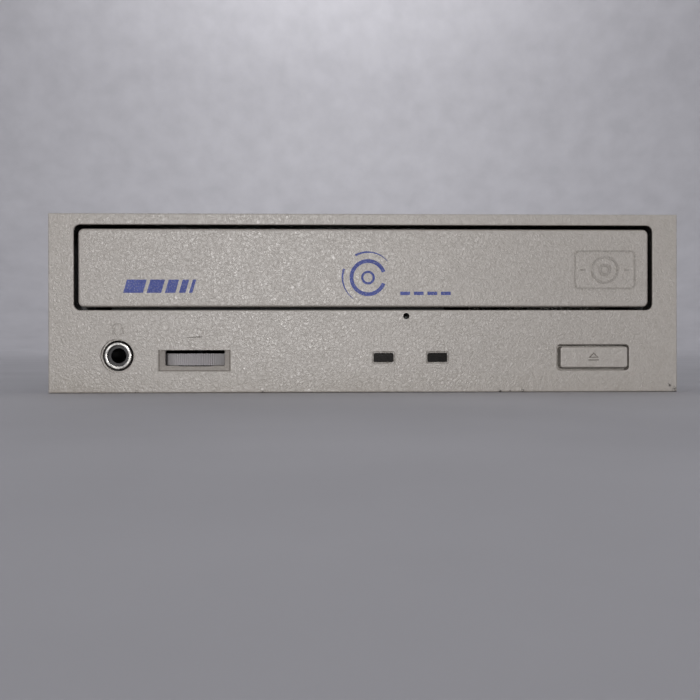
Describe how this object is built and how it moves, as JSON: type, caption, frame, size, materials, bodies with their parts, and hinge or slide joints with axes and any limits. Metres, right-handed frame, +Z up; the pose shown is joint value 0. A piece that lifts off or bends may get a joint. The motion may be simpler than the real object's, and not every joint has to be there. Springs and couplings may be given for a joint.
{
  "type": "optical disc drive",
  "caption": "Half-height bay optical drive with a motorised disc tray, headphone socket, volume wheel and eject button; its tray, gears, lift and pickup sled move.",
  "frame": {"origin": "middle of the drive's width and overall depth, on the plane it stands on", "axes": "+X to the right seen from the front, +Y from the bezel to the connectors, +Z up"},
  "size_m": [0.148, 0.188, 0.042],
  "materials": {
    "bezel_plastic": "fine moulded leather grain, warm light grey",
    "smoke_lens": "dark smoky translucent plastic",
    "circuit_board": "green solder mask",
    "black_plastic": "fine satin",
    "white_plastic": "satin nylon",
    "blue_plastic": "smooth",
    "led_epoxy": "tinted epoxy",
    "plated_metal": "nickel plated",
    "wheel_plastic": "knurled, cooler grey",
    "sheet_steel": "zinc plated sheet",
    "label_paper": "satin label stock",
    "chassis_plastic": "black moulded plastic",
    "magnet_iron": "nickel plated magnet",
    "tray_plastic": "dark grey moulded plastic",
    "gear_plastic": "natural acetal",
    "motor_steel": "drawn can",
    "belt_rubber": "smooth",
    "damper_rubber": "matt",
    "cast_aluminium": "die cast",
    "lens_glass": "coated lens",
    "chip_epoxy": "moulded package",
    "capacitor_sleeve": "shrunk sleeve",
    "gold_pins": "flash plated",
    "ribbon_film": "flat flexible cable"
  },
  "bodies": {
    "case": {"front_bezel": "bezel_plastic", "busy_lens": "smoke_lens", "record_lens": "smoke_lens", "front_board": "circuit_board", "jack_housing": "black_plastic", "jack_sleeve": "plated_metal", "volume_pot": "black_plastic", "eject_switch": "black_plastic", "indicator_leds": "led_epoxy", "top_cover": "sheet_steel", "bottom_cover": "sheet_steel", "chassis_screws": "plated_metal", "back_screws": "plated_metal", "top_label": "label_paper", "loader_chassis": "chassis_plastic", "clamp_bridge": "sheet_steel", "loading_motor": "motor_steel", "drive_belt": "belt_rubber", "main_board": "circuit_board", "controller_chip": "chip_epoxy", "driver_chip": "chip_epoxy", "memory_chip": "chip_epoxy", "capacitors": "capacitor_sleeve", "power_connector": "white_plastic", "data_connector": "black_plastic", "audio_connector": "white_plastic", "digital_connector": "white_plastic", "jumper_block": "black_plastic", "jumper_cap": "blue_plastic", "connector_pins": "gold_pins", "front_ribbon": "ribbon_film"},
    "tray_unit": {"tray": "tray_plastic", "tray_front": "bezel_plastic"},
    "eject_key": {"eject_button": "bezel_plastic", "switch_plunger": "white_plastic"},
    "volume_dial": {"volume_wheel": "wheel_plastic"},
    "clamper_puck": {"clamper": "white_plastic", "clamper_magnet": "magnet_iron"},
    "tray_pinion": {"tray_gear": "gear_plastic"},
    "pulley_pinion": {"pulley_gear": "gear_plastic"},
    "motor_rotor": {"motor_pulley": "gear_plastic", "motor_shaft": "plated_metal"},
    "slider": {"cam_slider": "gear_plastic"},
    "traverse": {"lift_frame": "chassis_plastic", "traverse_base": "sheet_steel", "dampers": "damper_rubber", "damper_screws": "plated_metal", "spindle_motor": "motor_steel", "main_rail": "plated_metal", "sub_rail": "plated_metal", "feed_motor": "motor_steel"},
    "spindle": {"spindle_shaft": "plated_metal", "turntable": "black_plastic", "turntable_pad": "damper_rubber"},
    "sled": {"pickup_body": "cast_aluminium", "lens_holder": "black_plastic", "objective_lens": "lens_glass", "sled_follower": "gear_plastic"},
    "feed_screw": {"lead_screw": "plated_metal"}
  },
  "joints": [
    {"name": "tray_slide", "type": "slide", "parent": "case", "child": "tray_unit", "axis": [0, -1, 0], "range_m": [0, 0.132]},
    {"name": "eject_press", "type": "slide", "parent": "case", "child": "eject_key", "axis": [0, 1, 0], "range_m": [0, 0.001], "stiffness_N_per_m": 800, "springref_m": -0.0008},
    {"name": "volume_turn", "type": "hinge", "parent": "case", "child": "volume_dial", "pos_m": [-0.0401, -0.0837, 0.0078], "axis": [0, 0, 1], "range_deg": [-150, 150]},
    {"name": "turntable_spin", "type": "hinge", "parent": "traverse", "child": "spindle", "pos_m": [0, -0.023, 0.028], "axis": [0, 0, 1], "continuous": true},
    {"name": "clamper_spin", "type": "hinge", "parent": "case", "child": "clamper_puck", "pos_m": [0, -0.023, 0.033], "axis": [0, 0, 1], "continuous": true},
    {"name": "tray_gear_spin", "type": "hinge", "parent": "case", "child": "tray_pinion", "pos_m": [0.049, -0.073, 0.02], "axis": [0, 0, 1], "range_deg": [-1261, 0]},
    {"name": "pulley_gear_spin", "type": "hinge", "parent": "case", "child": "pulley_pinion", "pos_m": [0.03216, -0.07003, 0.02], "axis": [0, 0, 1], "range_deg": [0, 4728]},
    {"name": "motor_pulley_spin", "type": "hinge", "parent": "case", "child": "motor_rotor", "pos_m": [0.015, -0.0555, 0.02], "axis": [0, 0, 1], "range_deg": [0, 13885]},
    {"name": "cam_slide", "type": "slide", "parent": "case", "child": "slider", "axis": [1, 0, 0], "range_m": [0, 0.012]},
    {"name": "traverse_lift", "type": "hinge", "parent": "case", "child": "traverse", "pos_m": [0, 0.058, 0.0146], "axis": [1, 0, 0], "range_deg": [0, 4.2]},
    {"name": "sled_slide", "type": "slide", "parent": "traverse", "child": "sled", "axis": [0, 1, 0], "range_m": [0, 0.0355]},
    {"name": "lead_screw_spin", "type": "hinge", "parent": "traverse", "child": "feed_screw", "pos_m": [0.0322, 0.011, 0.0175], "axis": [0, 1, 0], "range_deg": [0, 4261]}
  ],
  "couplings": [
    {"joint": "tray_gear_spin", "follows": "tray_slide", "rad_per_m": -166.67},
    {"joint": "pulley_gear_spin", "follows": "tray_slide", "rad_per_m": 625},
    {"joint": "motor_pulley_spin", "follows": "tray_slide", "rad_per_m": 1835.3},
    {"joint": "cam_slide", "follows": "tray_slide", "ratio": 0.0909},
    {"joint": "traverse_lift", "follows": "tray_slide", "rad_per_m": 0.5553},
    {"joint": "lead_screw_spin", "follows": "sled_slide", "rad_per_m": 2094.4},
    {"joint": "clamper_spin", "follows": "turntable_spin", "ratio": 1}
  ]
}
